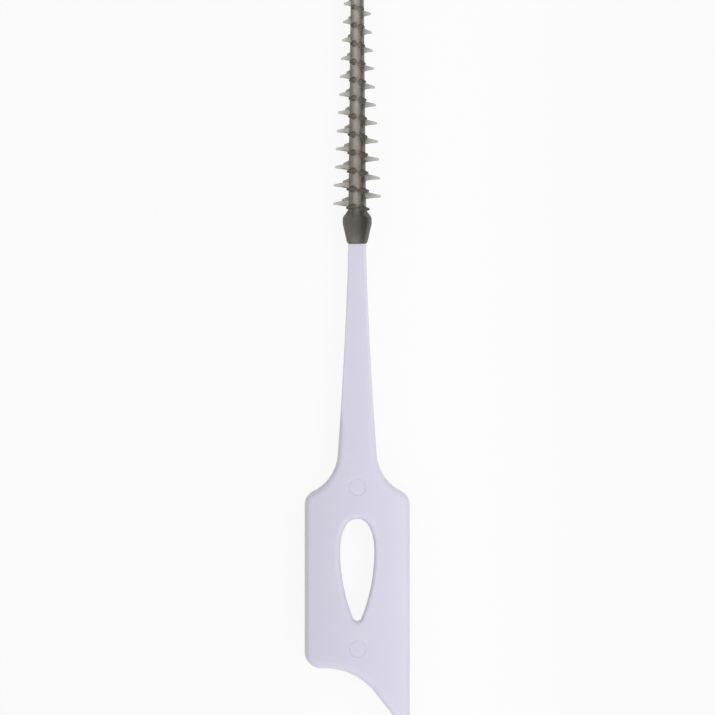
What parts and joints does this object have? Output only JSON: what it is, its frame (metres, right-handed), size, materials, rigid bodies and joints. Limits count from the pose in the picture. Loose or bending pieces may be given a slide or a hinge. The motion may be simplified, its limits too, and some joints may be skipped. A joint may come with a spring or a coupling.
{
  "type": "interdental brush",
  "caption": "Rubber interdental pick: flat plastic grip with a drop-shaped hole and a pointed tail, a slim tapering stem, and a soft rubber sleeve whose fingers spiral up a thin core.",
  "frame": {"origin": "under the middle of the pick's bounding box, on the surface that its lowest finger touches", "axes": "the pick lies on its back: +Y runs from the tail to the tip of the brush, +Z points out of the front face of the grip and +X is to the right as seen from the front"},
  "size_m": [0.0074, 0.0596, 0.0032],
  "materials": {
    "handle": "satin, slightly translucent",
    "rubber": "soft satin, smoky and translucent"
  },
  "bodies": {
    "root": {"handle": "handle", "brush_sleeve": "rubber"}
  },
  "joints": []
}
